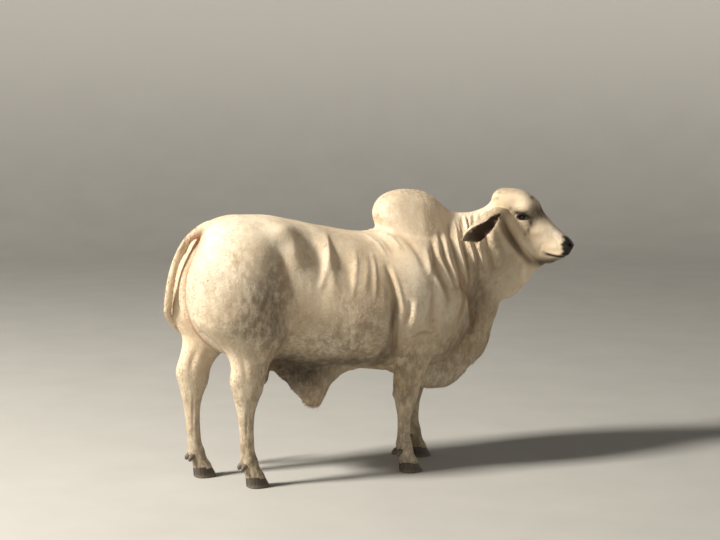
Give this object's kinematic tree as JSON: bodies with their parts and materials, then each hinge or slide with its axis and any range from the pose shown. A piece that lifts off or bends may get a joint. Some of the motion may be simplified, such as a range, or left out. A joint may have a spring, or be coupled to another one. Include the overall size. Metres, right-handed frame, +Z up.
{
  "type": "brahman bull",
  "caption": "Life-size standing Brahman bull with a tall hump over the withers, long drooping ears, loose dewlap and hanging sheath, head turned to its right.",
  "frame": {"origin": "middle of the model's box, at the level of the hoof soles", "axes": "+X is the way the body faces, +Y is the bull's left side, +Z is up"},
  "size_m": [2.3635, 0.7689, 1.6091],
  "materials": {
    "coat": "matt",
    "switch_hair": "matt",
    "horn": "satin",
    "eye": "gloss"
  },
  "bodies": {
    "root": {"head": "coat", "neck": "coat", "torso": "coat", "hump": "coat", "dewlap": "coat", "sheath": "coat", "scrotum": "coat", "tail": "coat", "tail_switch": "switch_hair", "fore_leg_left": "coat", "fore_leg_right": "coat", "hind_leg_left": "coat", "hind_leg_right": "coat", "ear_left": "coat", "eye_left": "eye", "ear_right": "coat", "eye_right": "eye", "claw_fore_left_inner": "horn", "dewclaw_fore_left_inner": "horn", "claw_fore_left_outer": "horn", "dewclaw_fore_left_outer": "horn", "claw_fore_right_inner": "horn", "dewclaw_fore_right_inner": "horn", "claw_fore_right_outer": "horn", "dewclaw_fore_right_outer": "horn", "claw_hind_left_inner": "horn", "dewclaw_hind_left_inner": "horn", "claw_hind_left_outer": "horn", "dewclaw_hind_left_outer": "horn", "claw_hind_right_inner": "horn", "dewclaw_hind_right_inner": "horn", "claw_hind_right_outer": "horn", "dewclaw_hind_right_outer": "horn"}
  },
  "joints": []
}
